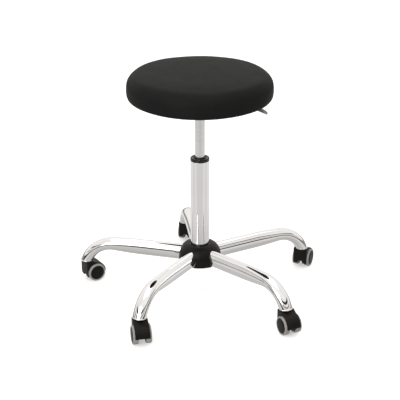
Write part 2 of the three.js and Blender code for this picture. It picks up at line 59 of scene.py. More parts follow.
SEAT_LOWER = 34              # from the widest line down to the underside
SEAT_CROWN = 3
SEAT_SIDES = 144
UPPER_ROUND = 27.7
UPPER_POWER = 1.9
LOWER_ROUND = 19
LOWER_POWER = 4.0            # squarer than the CAD seat's, for the smoothing that follows
SKIN_WALL = 1.6
SKIN_MOUTH = 120             # radius of the opening in the cover's folded underside
SEAT_SWELL = 2.5             # room left for the foam to swell in
SEAT_PLUMP = 0.6             # how far the stuffed cover stands out past the CAD seat all round
SEAT_LOFT = 2.5              # and how far it rises above it
SEAT_SECTORS = 72            # the cushion's radius is measured in this many directions
CUSHION_VOXEL = 5.5
HELD_HEIGHT = 4              # the cushion's underside is held still up to here
CLOTH_PRESSURE = 4
CLOTH_STIFFNESS = 40
CLOTH_FRAMES = 20
SWELL_EVENING = 60           # rounds of averaging that even out the swell
STAPLES = 44
STAPLE_SIZE = (1.1, 10, 0.7)
STAPLE_INSET = 7             # from the cover's folded edge
WELD_REACH = 0.01            # points nearer than this are one point

LEG_BEND = 82
LEG_RISE = math.radians(2.2)
LEG_FALL = math.radians(-70)
STRAIGHT_STEPS = 24
BEND_STEPS = 40
HUB_DEPTH = 43.5
HUB_WIDTH = 31.5
END_DEPTH = 31
END_WIDTH = 37
TAPER_START = 0.52           # shares of the reach between which a leg changes its section
TAPER_END = 0.93
LEG_CUT = 60                 # half the size of the block that cuts a leg off level
LEG_PAST = 14                # how far a leg is drawn past its cut end
BEAD = 1.5                   # radius of the rolled bead at a leg's end
BEAD_SIDES = 12
BEAD_SUNK = 0.4              # share of the bead's radius that lies in the leg
LEG_BORE = 6.1
LEG_BORE_HEIGHT = 19

COVER_WALL = 2.5
COVER_GAP = 0.5
COVER_MOUTH = 27
COVER_LIP = 29.5
COVER_STEP = 1.2             # from the top down to the inside of the lip
COVER_SIDES = 180
WINDOW_REACH = 27            # from the socket out to the middle of a leg's window cut

COLUMN_WALL = 1.5
COLUMN_FLOOR = 4
COLUMN_SIDES = 144
ROD_HOLE = 5.6               # in the floors of the column and of the tube
BUSH_LIP = 8
BUSH_SHOULDER = 4            # width of the slope at the bush's outer edge
BUSH_FUNNEL = 5              # width and depth of the slope at its mouth
TUBE_TAPER = 1
TUBE_WALL = 1.6
TUBE_FLOOR = 6
BUTTON_BORE = 5.1
BUTTON_DEPTH = 14
TUBE_HEAD = 17               # from the top down to the underside of the tube's head

AXLE = 3
WHEEL_WIDTH = 14
WHEEL_TRACK = 33.4
TYRE_DEPTH = 4.6
TYRE_SIDES = 24              # of the CAD tyre, which stands on one of its flats
CAP_DOME = 1.5
CAP_BORE_DEPTH = 8.4
CAP_BORE = 3.6
HOOD_WIDTH = 38.5
HOOD_ROUND = 2.2
FENDER_START = 84.6          # the angle in degrees where the fender's arc leaves the tower
FENDER_CLEARANCE = 1.3
FENDER_WALL = 1.7
TOWER_BACK = 8
TUNNEL_WALL = 1.6            # of web left at each side of the arch
BOSS_WALL = 4
AXLE_CUT = 40
STEM_BORE = 5.8
STEM_DEPTH = 14
SKIRT_HEIGHT = 13            # of the hood's lower edge at the back
VISOR_HEIGHT = 23.8          # of the hood's lower edge at the front
ARCH_HEIGHT = 23.4           # of the arch between the wheels

LEVER_RADIUS = 3.5
LEVER_SIDES = 32
# [along, height, slope in degrees, share of the radius across, share of it up]
LEVER_STATIONS = [
    [-40, 0, 0, 1, 1], [20, 0, 0, 1, 1], [45, -1, -2, 1, 1], [70, -2.2, -3, 1.3, 0.95],
    [88, -3.4, -5, 2.6, 0.8], [102, -4.8, -7, 3.4, 0.72], [118, -7.6, -13, 3.7, 0.7],
    [130, -11.8, -22, 3.5, 0.66], [138, -15.8, -31, 2.7, 0.6], [141.5, -18.6, -38, 1.6, 0.4],
]
PIVOT_RADIUS = 2.5
PIVOT_HALF = 9
BUSH_RADIUS = 6
BUSH_HALF = 6
BUSH_BORE = 3.8

PLATE_THICKNESS = 3
PLATE_CORNER = 12
LEVER_ROOM = 16.6            # from the gas tube's top up to the plate
SOCKET_GAP = FIT_GAP + 0.1   # between the socket and the tube
SOCKET_OUTER = 19
SOCKET_FLARE = 3             # how far the socket spreads under the plate
LEVER_WINDOW = 5             # half the width of the lever's way into the socket
WINDOW_EDGE = 1.5
CHEEK_HALF = 7
CHEEK_DROP = 13.5
CHEEK_WALL = 3
CHEEK_SIDE = 7.8             # from the lever's middle to a cheek's middle

BOLT_HEAD = 6                # from the middle to a corner
BOLT_HEAD_HEIGHT = 3.2
BOLT_HEAD_MIDDLE = 1.7       # above the bolt's lowest point
FLANGE_RADIUS = 6.5
FLANGE_BOTTOM = 3
FLANGE_TOP = 3.9
SHANK_RADIUS = 3


def low(node):
    """The lowest corner of a CAD node, in millimetres."""
    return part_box(node)[0] / MM


def high(node):
    """The highest corner of a CAD node, in millimetres."""
    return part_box(node)[1] / MM


# ---- places, read from the frame -------------------------------------------
SEAT_BOTTOM = low("seat_cover")[2]
SEAT_TOP = high("seat_cover")[2]
SEAT_RADIUS = high("seat_cover")[0]
SEAT_EDGE = SEAT_BOTTOM + SEAT_LOWER
SEAT_UPPER = SEAT_TOP - SEAT_EDGE - SEAT_CROWN
BOARD_TOP = high("seat_board")[2]
BOARD_RADIUS = high("seat_board")[0]
COLUMN_BOTTOM = low("column_tube")[2]
COLUMN_TOP = high("column_tube")[2]
COLUMN_RADIUS = high("column_tube")[0]
TUBE_TOP = high("pressure_tube")[2]
TUBE_BOTTOM = low("pressure_tube")[2]
TUBE_RADIUS = high("pressure_tube")[0]
PLATE_BOTTOM = TUBE_TOP + LEVER_ROOM
PLATE_SIZE = 2 * high("mounting_plate")[0]
SOCKET_BOTTOM = low("mounting_plate")[2]
COVER_TOP = high("hub_cover")[2]
COVER_BOTTOM = low("hub_cover")[2]
COVER_RADIUS = high("hub_cover")[0]
SOCKET_RADIUS = high("hub_socket")[0]
LEG_END = low("leg_1")[2]
lever_place = Vector(joints["lever_lift"]["pos_m"]) / MM
LEVER_AZIMUTH = math.degrees(math.atan2(lever_place.y, lever_place.x))
AXLE_HEIGHT = joints["castor_1_left_spin"]["pos_m"][2] / MM
HOOD_TOP = high("castor_1_hood")[2]
stem_place = Vector(joints["castor_1_swivel"]["pos_m"]) / MM
wheel_place = Vector(joints["castor_1_left_spin"]["pos_m"]) / MM
REACH = stem_place.to_2d().length
TRAIL = (wheel_place - stem_place).to_2d().length
BEND_START = REACH - LEG_BEND * (math.sin(LEG_RISE) - math.sin(LEG_FALL))
BEND_HEIGHT = LEG_END + LEG_BEND * (math.cos(LEG_RISE) - math.cos(LEG_FALL))
HUB_LINE = BEND_HEIGHT - (BEND_START - SOCKET_RADIUS) * math.tan(LEG_RISE)
WHEEL_RADIUS = AXLE_HEIGHT / math.cos(math.pi / TYRE_SIDES)
FENDER = WHEEL_RADIUS + FENDER_CLEARANCE + FENDER_WALL


# ---- mesh helpers ----------------------------------------------------------
def piece_from(bm, name, smooth=35):
    """A new object from a bmesh in millimetres, shaded smooth below an angle."""
    bmesh.ops.recalc_face_normals(bm, faces=bm.faces)
    bmesh.ops.scale(bm, vec=(MM, MM, MM), verts=bm.verts)
    mesh = bpy.data.meshes.new(name)
    bm.to_mesh(mesh)
    bm.free()
    piece = bpy.data.objects.new(name, mesh)
    bpy.context.scene.collection.objects.link(piece)
    shade(piece, smooth)
    return piece


def shade(piece, angle=35):
    """Smooth shading, with edges sharper than the angle left crisp."""
    piece.data.polygons.foreach_set("use_smooth", [True] * len(piece.data.polygons))
    piece.data.set_sharp_from_angle(angle=math.radians(angle))


def applied(piece):
    """Applies every modifier on a piece to its mesh."""
    graph = bpy.context.evaluated_depsgraph_get()
    mesh = bpy.data.meshes.new_from_object(piece.evaluated_get(graph))
    old = piece.data
    piece.modifiers.clear()
    piece.data = mesh
    mesh.name = piece.name
    bpy.data.meshes.remove(old)


def bevelled(piece, width, segments=3, angle=35):
    """Rounds the edges that are sharper than the angle."""
    bevel = piece.modifiers.new("bevel", "BEVEL")
    bevel.width = width * MM
    bevel.segments = segments
    bevel.limit_method = "ANGLE"
    bevel.angle_limit = math.radians(angle)
    bevel.use_clamp_overlap = True
    applied(piece)
    shade(piece)


def welded(piece):
    """Joins points that lie on each other and drops the faces without area between them."""
    bm = bmesh.new()
    bm.from_mesh(piece.data)
    bmesh.ops.remove_doubles(bm, verts=bm.verts, dist=WELD_REACH * MM)
    bmesh.ops.dissolve_degenerate(bm, edges=bm.edges, dist=WELD_REACH * MM)
    bm.to_mesh(piece.data)
    bm.free()
    return piece


def combined(piece, other, operation):
    """Cuts or joins another closed piece, which is used up."""
    boolean = piece.modifiers.new("boolean", "BOOLEAN")
    boolean.operation = operation
    boolean.solver = "EXACT"
    boolean.object = other
    applied(piece)
    bpy.data.objects.remove(other)
    shade(piece)


def filleted(corners, closed=False, steps=6):
    """A polyline whose [x, y, radius] corners are rounded by arcs."""
    points = []
    count = len(corners)
    for i, corner in enumerate(corners):
        here = Vector(corner[:2])
        radius = corner[2] if len(corner) > 2 else 0
        if radius <= 0 or (not closed and i in (0, count - 1)):
            points.append(here)
            continue
        before = (Vector(corners[i - 1][:2]) - here)
        after = (Vector(corners[(i + 1) % count][:2]) - here)
        half = before.angle(after) / 2
        reach = min(radius / math.tan(half), before.length * 0.49, after.length * 0.49)
        start = here + before.normalized() * reach
        end = here + after.normalized() * reach
        for k in range(steps + 1):
            t = k / steps
            points.append(start * (1 - t) ** 2 + here * 2 * t * (1 - t) + end * t ** 2)
    return points


def lathe(name, profile, sides=ROUND_SIDES, steps=6):
    """A closed body of revolution about Z from [radius, height, fillet] corners."""
    on_axis = profile[0][0] == 0 and profile[-1][0] == 0
    points = filleted(profile, closed=not on_axis, steps=steps)
    bm = bmesh.new()
    rings = []
    for point in points:
        if point.x < 1e-6:
            rings.append([bm.verts.new((0, 0, point.y))])
            continue
        turns = [2 * math.pi * k / sides for k in range(sides)]
        places = [(point.x * math.cos(a), point.x * math.sin(a), point.y) for a in turns]
        rings.append([bm.verts.new(place) for place in places])
    pairs = list(zip(rings, rings[1:]))
    if not on_axis:
        pairs.append((rings[-1], rings[0]))
    for lower, upper in pairs:
        for k in range(sides):
            n = (k + 1) % sides
            corners = [lower[k % len(lower)], lower[n % len(lower)]]
            corners += [upper[n % len(upper)], upper[k % len(upper)]]
            face = list(dict.fromkeys(corners))
            if len(face) > 2:
                bm.faces.new(face)
    return piece_from(bm, name)


def loft(name, rings):
    """A closed body through rings of points, all of the same count."""
    bm = bmesh.new()
    rows = [[bm.verts.new(point) for point in ring] for ring in rings]
    for lower, upper in zip(rows, rows[1:]):
        for k in range(len(lower)):
            n = (k + 1) % len(lower)
            bm.faces.new([lower[k], lower[n], upper[n], upper[k]])
    bm.faces.new(rows[0])
    bm.faces.new(rows[-1])
    return piece_from(bm, name)


def extruded(name, outline, width, along="Y"):
    """An outline in X and Z, or X and Y, drawn out to both sides of zero."""
    rings = []
    for side in (-width / 2, width / 2):
        if along == "Y":
            rings.append([(p[0], side, p[1]) for p in outline])
        elif along == "X":
            rings.append([(side, p[0], p[1]) for p in outline])
        else:
            rings.append([(p[0], p[1], side) for p in outline])
    return loft(name, rings)


def moved(piece, matrix):
    """Moves the mesh itself, with the shift in millimetres."""
    scaled = matrix.copy()
    scaled.translation = matrix.translation * MM
    piece.data.transform(scaled)
    return piece


def shift(x=0, y=0, z=0):
    return Matrix.Translation((x, y, z))


def turn(degrees, axis):
    return Matrix.Rotation(math.radians(degrees), 4, axis)


def arc(x, z, radius, start, end, steps=24):
    """Points on an arc from one angle to another, in degrees."""
    angles = [math.radians(start + (end - start) * k / steps) for k in range(steps + 1)]
    return [(x + radius * math.cos(a), z + radius * math.sin(a)) for a in angles]


def smoothstep(value, start, end):
    share = min(max((value - start) / (end - start), 0), 1)
    return share * share * (3 - 2 * share)


def through(points, per_span=6):
    """A smooth curve through the points, of any number of values each."""
    curve = []
    for i in range(len(points) - 1):
        p0 = points[max(i - 1, 0)]
        p1, p2 = points[i], points[i + 1]
        p3 = points[min(i + 2, len(points) - 1)]
        for k in range(per_span):
            t = k / per_span
            curve.append([
                0.5 * (
                    2 * b + (c - a) * t + (2 * a - 5 * b + 4 * c - d) * t ** 2
                    + (3 * b - a - 3 * c + d) * t ** 3
                )
                for a, b, c, d in zip(p0, p1, p2, p3)
            ])
    curve.append(list(points[-1]))
    return curve


# ---- materials --------------------------------------------------------------
class Surface:
    """A node material that is built up in layers."""

    def __init__(self, name, roughness, metallic=0.0, specular=0.5):
        self.material = bpy.data.materials.new(name)
        self.material.use_nodes = True
        self.nodes = self.material.node_tree.nodes
        self.links = self.material.node_tree.links
        self.shader = self.nodes["Principled BSDF"]
        self.shader.inputs["Roughness"].default_value = roughness
        self.shader.inputs["Metallic"].default_value = metallic
        self.shader.inputs["Specular IOR Level"].default_value = specular
        self.place = self.nodes.new("ShaderNodeTexCoord").outputs["Object"]
        self.normal = None

    def stretched(self, scale):
        mapping = self.nodes.new("ShaderNodeMapping")
        mapping.inputs["Scale"].default_value = scale
        self.links.new(self.place, mapping.inputs["Vector"])
        return mapping.outputs["Vector"]

    def noise(self, scale, detail=4, stretch=None):
        noise = self.nodes.new("ShaderNodeTexNoise")
        noise.inputs["Scale"].default_value = scale
        noise.inputs["Detail"].default_value = detail
        self.links.new(self.stretched(stretch) if stretch else self.place, noise.inputs["Vector"])
        return noise.outputs["Fac"]

    def cells(self, scale, feature="DISTANCE_TO_EDGE"):
        cells = self.nodes.new("ShaderNodeTexVoronoi")
        cells.feature = feature
        cells.inputs["Scale"].default_value = scale
        self.links.new(self.place, cells.inputs["Vector"])
        return cells.outputs["Distance"]

    def ranged(self, source, start, end, low_value, high_value):
        limits = self.nodes.new("ShaderNodeMapRange")
        values = {"From Min": start, "From Max": end, "To Min": low_value, "To Max": high_value}
        for slot, value in values.items():
            limits.inputs[slot].default_value = value
        self.links.new(source, limits.inputs["Value"])
        return limits.outputs["Result"]

    def colour(self, source, dark, light, start=0.3, end=0.7):
        ramp = self.nodes.new("ShaderNodeValToRGB")
        ramp.color_ramp.elements[0].position = start
        ramp.color_ramp.elements[1].position = end
        ramp.color_ramp.elements[0].color = (*dark, 1)
        ramp.color_ramp.elements[1].color = (*light, 1)
        self.links.new(source, ramp.inputs["Fac"])
        self.links.new(ramp.outputs["Color"], self.shader.inputs["Base Color"])
        return self

    def roughened(self, source, smooth, rough):
        self.links.new(self.ranged(source, 0.3, 0.7, smooth, rough), self.shader.inputs["Roughness"])
        return self

    def bumped(self, source, strength, distance):
        bump = self.nodes.new("ShaderNodeBump")
        bump.inputs["Strength"].default_value = strength
        bump.inputs["Distance"].default_value = distance
        self.links.new(source, bump.inputs["Height"])
        if self.normal:
            self.links.new(self.normal, bump.inputs["Normal"])
        self.normal = bump.outputs["Normal"]
        self.links.new(self.normal, self.shader.inputs["Normal"])
        return self


def grey(value, warm=0.0):
    return (value * (1 + warm), value, value * (1 - warm))


def chrome_surface():
    s = Surface("polished_chrome", 0.05, metallic=1)
    s.colour(s.noise(9, 2), grey(0.86, 0.006), grey(0.92, 0.006))
    s.roughened(s.noise(38, 5), 0.018, 0.045)
    return s.bumped(s.noise(60, 2), 0.05, 0.0001).material


def satin_surface(name, dark, light, smooth, rough):
    s = Surface(name, smooth, metallic=1)
    s.colour(s.noise(30, 3, stretch=(1, 1, 14)), grey(dark), grey(light))
    s.roughened(s.noise(160, 4, stretch=(1, 1, 0.05)), smooth, rough)
    return s.bumped(s.noise(900, 2, stretch=(1, 1, 30)), 0.05, 0.0001).material


def plastic_surface(name, dark, light, smooth, rough, grain, warm=0.03, specular=0.22):
    s = Surface(name, smooth, specular=specular)
    s.colour(s.noise(60, 4), grey(dark, warm), grey(light, warm))
    s.roughened(s.noise(120, 4), smooth, rough)
    s.bumped(s.cells(1500), grain, 0.00008)
    return s.bumped(s.noise(2600, 2), grain, 0.00005).material


def rubber_surface(name, dark, light):
    s = Surface(name, 0.6, specular=0.35)
    s.colour(s.noise(75, 5), grey(dark, 0.02), grey(light, 0.02))
    s.roughened(s.noise(220, 4), 0.5, 0.72)
    return s.bumped(s.noise(1500, 3), 0.14, 0.0001).material


def leatherette_surface():
    s = Surface("black_leatherette", 0.5, specular=0.05)
    s.colour(s.noise(22, 5), grey(0.0125, 0.01), grey(0.0142, 0.01))
    s.roughened(s.noise(40, 3), 0.50, 0.54)
    s.bumped(s.cells(820), 0.08, 0.0001)
    return s.bumped(s.noise(1900, 3), 0.05, 0.00006).material


def plywood_surface():
    s = Surface("stained_plywood", 0.65, specular=0.2)
    s.colour(s.noise(26, 6, stretch=(1, 9, 1)), (0.008, 0.007, 0.006), (0.022, 0.019, 0.016), 0.35, 0.65)
    s.roughened(s.noise(90, 4), 0.55, 0.75)
    return s.bumped(s.noise(240, 5, stretch=(1, 12, 1)), 0.2, 0.0002).material


def foam_surface():
    s = Surface("seat_foam", 0.95, specular=0.2)
    s.colour(s.noise(50, 4), (0.58, 0.52, 0.36), (0.70, 0.64, 0.46))
    s.roughened(s.noise(50, 4), 0.9, 1.0)
    return s.bumped(s.cells(700), 0.5, 0.0005).material


chrome = chrome_surface()
satin_steel = satin_surface("satin_steel", 0.82, 0.88, 0.22, 0.30)
zinc_steel = satin_surface("zinc_steel", 0.50, 0.58, 0.28, 0.42)
spring_steel = satin_surface("spring_steel", 0.10, 0.14, 0.30, 0.42)
black_steel = plastic_surface("powder_coated_steel", 0.008, 0.013, 0.42, 0.55, 0.25, warm=0.0)
black_plastic = plastic_surface("black_nylon", 0.006, 0.009, 0.32, 0.44, 0.10, warm=0.2, specular=0.15)
gloss_plastic = plastic_surface("black_acetal", 0.006, 0.009, 0.12, 0.20, 0.03, specular=0.4)
grey_plastic = plastic_surface("grey_lever_plastic", 0.30, 0.36, 0.36, 0.46, 0.08, warm=0.0, specular=0.5)
grey_rubber = rubber_surface("grey_tread_rubber", 0.33, 0.39)
black_rubber = rubber_surface("black_rubber", 0.012, 0.018)
leatherette = leatherette_surface()
plywood = plywood_surface()
foam = foam_surface()

SLOT_SURFACES = {
    "chrome": chrome, "satin_steel": satin_steel, "zinc_steel": zinc_steel, "spring_steel": spring_steel,
    "black_steel": black_steel, "black_plastic": black_plastic, "gloss_plastic": gloss_plastic,
    "grey_plastic": grey_plastic, "grey_rubber": grey_rubber, "black_rubber": black_rubber,
    "leatherette": leatherette, "foam": foam, "plywood": plywood,
}


def dressed(piece, slot, body, *nodes):
    """Gives a piece its slot's material and its body, and hides the CAD nodes that it stands for."""
    piece.data.materials.clear()
    piece.data.materials.append(SLOT_SURFACES[slot])
    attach(piece, body)
    if nodes:
        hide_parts(*nodes)
    return piece


def copied(master, name, matrix):
    """A copy of a master piece with its own mesh, placed by a matrix in millimetres."""
    mesh = master.data.copy()
    mesh.name = name
    piece = bpy.data.objects.new(name, mesh)
    bpy.context.scene.collection.objects.link(piece)
    return moved(piece, matrix)


# ---- seat --------------------------------------------------------------------
def edge_curve(rounding, height, power, inset, steps=18):
    """A quarter of the seat's edge, from its widest line."""
    points = []
    for k in range(steps + 1):
        angle = math.pi / 2 * k / steps
        out = abs(math.cos(angle)) ** (2 / power)
        up = abs(math.sin(angle)) ** (2 / power)
        points.append((SEAT_RADIUS - rounding + (rounding - inset) * out, SEAT_EDGE + height * up))
    return points


def seat_form(inset):
    """A closed solid of the padded seat, smaller than the real one by the inset."""
    upper = edge_curve(UPPER_ROUND, SEAT_UPPER - inset, UPPER_POWER, inset)
    lower = edge_curve(LOWER_ROUND, -SEAT_LOWER, LOWER_POWER, inset)
    flat = SEAT_RADIUS - UPPER_ROUND
    crown = []
    for share in (0.83, 0.66, 0.5, 0.33, 0.16, 0):
        crown.append((flat * share, SEAT_EDGE + SEAT_UPPER - inset + SEAT_CROWN * (1 - share ** 2)))
    under = [(0, SEAT_BOTTOM)] + [(SEAT_RADIUS * share, SEAT_BOTTOM) for share in (0.3, 0.6, 0.8)]
    return lathe("seat_form", [*under, *reversed(lower), *upper[1:], *crown], sides=SEAT_SIDES)


def fitted(cushion):
    """Scales the cushion so that it fills the CAD seat's box."""
    corners = [vertex.co for vertex in cushion.data.vertices]
    reaches = [0.0] * SEAT_SECTORS
    for co in corners:
        sector = int(math.degrees(math.atan2(co.y, co.x)) % 360 / (360 / SEAT_SECTORS))
        reaches[sector] = max(reaches[sector], co.to_2d().length)
    bottom, top = min(co.z for co in corners), max(co.z for co in corners)
    wide = (SEAT_RADIUS + SEAT_PLUMP) * MM * len(reaches) / sum(reaches)
    tall = (SEAT_TOP + SEAT_LOFT - SEAT_BOTTOM) * MM / (top - bottom)
    for co in corners:
        co.x, co.y, co.z = co.x * wide, co.y * wide, SEAT_BOTTOM * MM + (co.z - bottom) * tall


def padded_form():
    """The seat's foam and cover, blown up a little by a cloth simulation."""
    start = seat_form(SEAT_SWELL)
    remesh = start.modifiers.new("remesh", "REMESH")
    remesh.mode = "VOXEL"
    remesh.voxel_size = CUSHION_VOXEL * MM
    applied(start)
    target = seat_form(SEAT_SWELL)
    wrap = start.modifiers.new("wrap", "SHRINKWRAP")
    wrap.target = target
    applied(start)
    bpy.data.objects.remove(target)
    smooth = start.modifiers.new("smooth", "SMOOTH")
    smooth.iterations = 8
    applied(start)

    before = [vertex.co.copy() for vertex in start.data.vertices]
    held = start.vertex_groups.new(name="held")
    fixed = [v.index for v in start.data.vertices if v.co.z < (SEAT_BOTTOM + HELD_HEIGHT) * MM]
    held.add(fixed, 1.0, "REPLACE")
    cloth = start.modifiers.new("cloth", "CLOTH")
    cloth.settings.use_pressure = True
    cloth.settings.uniform_pressure_force = CLOTH_PRESSURE
    cloth.settings.effector_weights.gravity = 0
    cloth.settings.vertex_group_mass = "held"
    cloth.settings.tension_stiffness = CLOTH_STIFFNESS
    cloth.settings.compression_stiffness = CLOTH_STIFFNESS
    scene = bpy.context.scene
    for number in range(1, CLOTH_FRAMES + 1):
        scene.frame_set(number)
    applied(start)
    scene.frame_set(1)
    evened(start.data, before)
    return start


def evened(mesh, before):
    """Caps how far each vertex has moved and averages the moves with their neighbours'."""
    swell = numpy.array([vertex.co - old for vertex, old in zip(mesh.vertices, before)])
    length = numpy.linalg.norm(swell, axis=1, keepdims=True)
    swell *= numpy.minimum(1, SEAT_SWELL * MM / numpy.maximum(length, 1e-9))
    ends = numpy.array([edge.vertices[:] for edge in mesh.edges])
    around = numpy.bincount(ends.ravel(), minlength=len(swell))[:, None]
    for _ in range(SWELL_EVENING):
        total = numpy.zeros_like(swell)
        numpy.add.at(total, ends[:, 0], swell[ends[:, 1]])
        numpy.add.at(total, ends[:, 1], swell[ends[:, 0]])
        swell = (swell + total / around) / 2
    for vertex, old, step in zip(mesh.vertices, before, swell):
        vertex.co = old + Vector(step)


def make_seat():
    cushion = padded_form()
    finer = cushion.modifiers.new("finer", "SUBSURF")
    finer.levels = 1
    applied(cushion)
    fitted(cushion)
    recess = lathe("recess", [
        (0, SEAT_BOTTOM - 5), (SKIN_MOUTH, SEAT_BOTTOM - 5, 0), (SKIN_MOUTH, SEAT_BOTTOM + SKIN_WALL, 0.6),
        (BOARD_RADIUS + FIT_GAP, SEAT_BOTTOM + SKIN_WALL), (BOARD_RADIUS + FIT_GAP, BOARD_TOP + FIT_GAP),
        (0, BOARD_TOP + FIT_GAP),
    ])
    combined(cushion, recess, "DIFFERENCE")
    cushion.name = "seat_cushion"
    shade(cushion, 50)
    dressed(cushion, "leatherette", "seat_lift", "seat_cover", "seat_foam")


def make_staples():
    """Staples that hold the cover's folded edge under the board."""
    bm = bmesh.new()
    for k in range(STAPLES):
        matrix = turn(360 * k / STAPLES + 2, "Z") @ shift(SKIN_MOUTH + STAPLE_INSET, 0, SEAT_BOTTOM - 0.2)
        made = bmesh.ops.create_cube(bm, size=1, matrix=matrix @ Matrix.Diagonal((*STAPLE_SIZE, 1)))
        edges = list({edge for vertex in made["verts"] for edge in vertex.link_edges})
        bmesh.ops.bevel(bm, geom=edges, offset=0.2, segments=2, affect="EDGES")
    dressed(piece_from(bm, "seat_staples"), "zinc_steel", "seat_lift")


# ---- seat mechanism ------------------------------------------------------------
def make_plate():
    half = PLATE_SIZE / 2
    corners = [(x * half, y * half, PLATE_CORNER) for x, y in ((1, -1), (1, 1), (-1, 1), (-1, -1))]
    plate = extruded("seat_plate", filleted(corners, closed=True, steps=8), PLATE_THICKNESS, along="Z")
    moved(plate, shift(z=PLATE_BOTTOM + PLATE_THICKNESS / 2))
    bevelled(plate, 0.9)
    reach = lever_place.to_2d().length
    joined = PLATE_BOTTOM + OVERLAP
    inner = TUBE_RADIUS + 0.5
    socket = lathe("socket", [
        (TUBE_RADIUS + SOCKET_GAP, SOCKET_BOTTOM, 0.5), (SOCKET_OUTER, SOCKET_BOTTOM, 1.2),
        (SOCKET_OUTER, PLATE_BOTTOM - SOCKET_FLARE, 3), (SOCKET_OUTER + SOCKET_FLARE, joined),
        (inner, joined), (inner, TUBE_TOP + 1), (TUBE_RADIUS - TUBE_TAPER + SOCKET_GAP, TUBE_TOP),
    ])
    sill, head = TUBE_TOP + WINDOW_EDGE, PLATE_BOTTOM - WINDOW_EDGE
    window = extruded("window", filleted([
        (-LEVER_WINDOW, sill, 3), (LEVER_WINDOW, sill, 3), (LEVER_WINDOW, head, 3), (-LEVER_WINDOW, head, 3),
    ], closed=True), 2 * SOCKET_OUTER, along="X")
    moved(window, turn(LEVER_AZIMUTH, "Z") @ shift(x=SOCKET_OUTER))
    combined(socket, window, "DIFFERENCE")
    combined(plate, socket, "UNION")
    foot = PLATE_BOTTOM - CHEEK_DROP
    for side in (-1, 1):
        cheek = extruded("cheek", filleted([
            (-CHEEK_HALF, joined), (-CHEEK_HALF, foot, 6), (CHEEK_HALF, foot, 6), (CHEEK_HALF, joined),
        ]), CHEEK_WALL)
        moved(cheek, turn(LEVER_AZIMUTH, "Z") @ shift(reach, side * CHEEK_SIDE, 0))
        combined(plate, cheek, "UNION")
    bevelled(plate, 0.35, 2)
    dressed(plate, "black_steel", "seat_lift", "mounting_plate")


def make_bolts():
    for k in range(1, 5):
        node = f"seat_bolt_{k}"
        middle = (low(node) + high(node)) / 2
        bottom, top = low(node)[2], high(node)[2] - 1
        head = arc(0, 0, BOLT_HEAD, 0, 300, 5)
        bolt = extruded("bolt", head, BOLT_HEAD_HEIGHT, along="Z")
        moved(bolt, shift(z=bottom + BOLT_HEAD_MIDDLE))
        bevelled(bolt, 0.5)
        shank = lathe("shank", [
            (0, bottom + FLANGE_BOTTOM), (FLANGE_RADIUS, bottom + FLANGE_BOTTOM, 0.2),
            (FLANGE_RADIUS, bottom + FLANGE_TOP, 0.2), (SHANK_RADIUS, bottom + FLANGE_TOP),
            (SHANK_RADIUS, top, 0.5), (0, top),
        ], sides=48)
        combined(bolt, shank, "UNION")
        bolt.name = f"hex_bolt_{k}"
        moved(bolt, shift(middle.x, middle.y, 0))
        dressed(bolt, "zinc_steel", "seat_lift", node)


def make_lever():
    place = shift(*lever_place) @ turn(LEVER_AZIMUTH, "Z")
    rings = []
    for x, z, slope, wide, thick in through(LEVER_STATIONS):
        angle = math.radians(slope)
        ring = []
        for k in range(LEVER_SIDES):
            a = 2 * math.pi * k / LEVER_SIDES
            up = LEVER_RADIUS * thick * math.sin(a)
            side = LEVER_RADIUS * wide * math.cos(a)
            ring.append((x - up * math.sin(angle), side, z + up * math.cos(angle)))
        rings.append(ring)
    lever = loft("lever_paddle", rings)
    bevelled(lever, 0.8, 3, 50)
    moved(lever, place)
    dressed(lever, "grey_plastic", "lever", "height_lever")

    bush = lathe("lever_pivot", [
        (0, -PIVOT_HALF), (PIVOT_RADIUS, -PIVOT_HALF, 0.5), (PIVOT_RADIUS, -BUSH_HALF, 0.2),
        (BUSH_RADIUS, -BUSH_HALF, 0.8), (BUSH_RADIUS, BUSH_HALF, 0.8), (PIVOT_RADIUS, BUSH_HALF, 0.2),
        (PIVOT_RADIUS, PIVOT_HALF, 0.5), (0, PIVOT_HALF),
    ], sides=48)
    moved(bush, turn(-90, "X"))
    bore = lathe("bore", [(0, -12), (BUSH_BORE, -12), (BUSH_BORE, 12), (0, 12)], sides=32)
    combined(bush, moved(bore, turn(90, "Y")), "DIFFERENCE")
    moved(bush, place)
    dressed(bush, "black_plastic", "lever", "lever_bush")


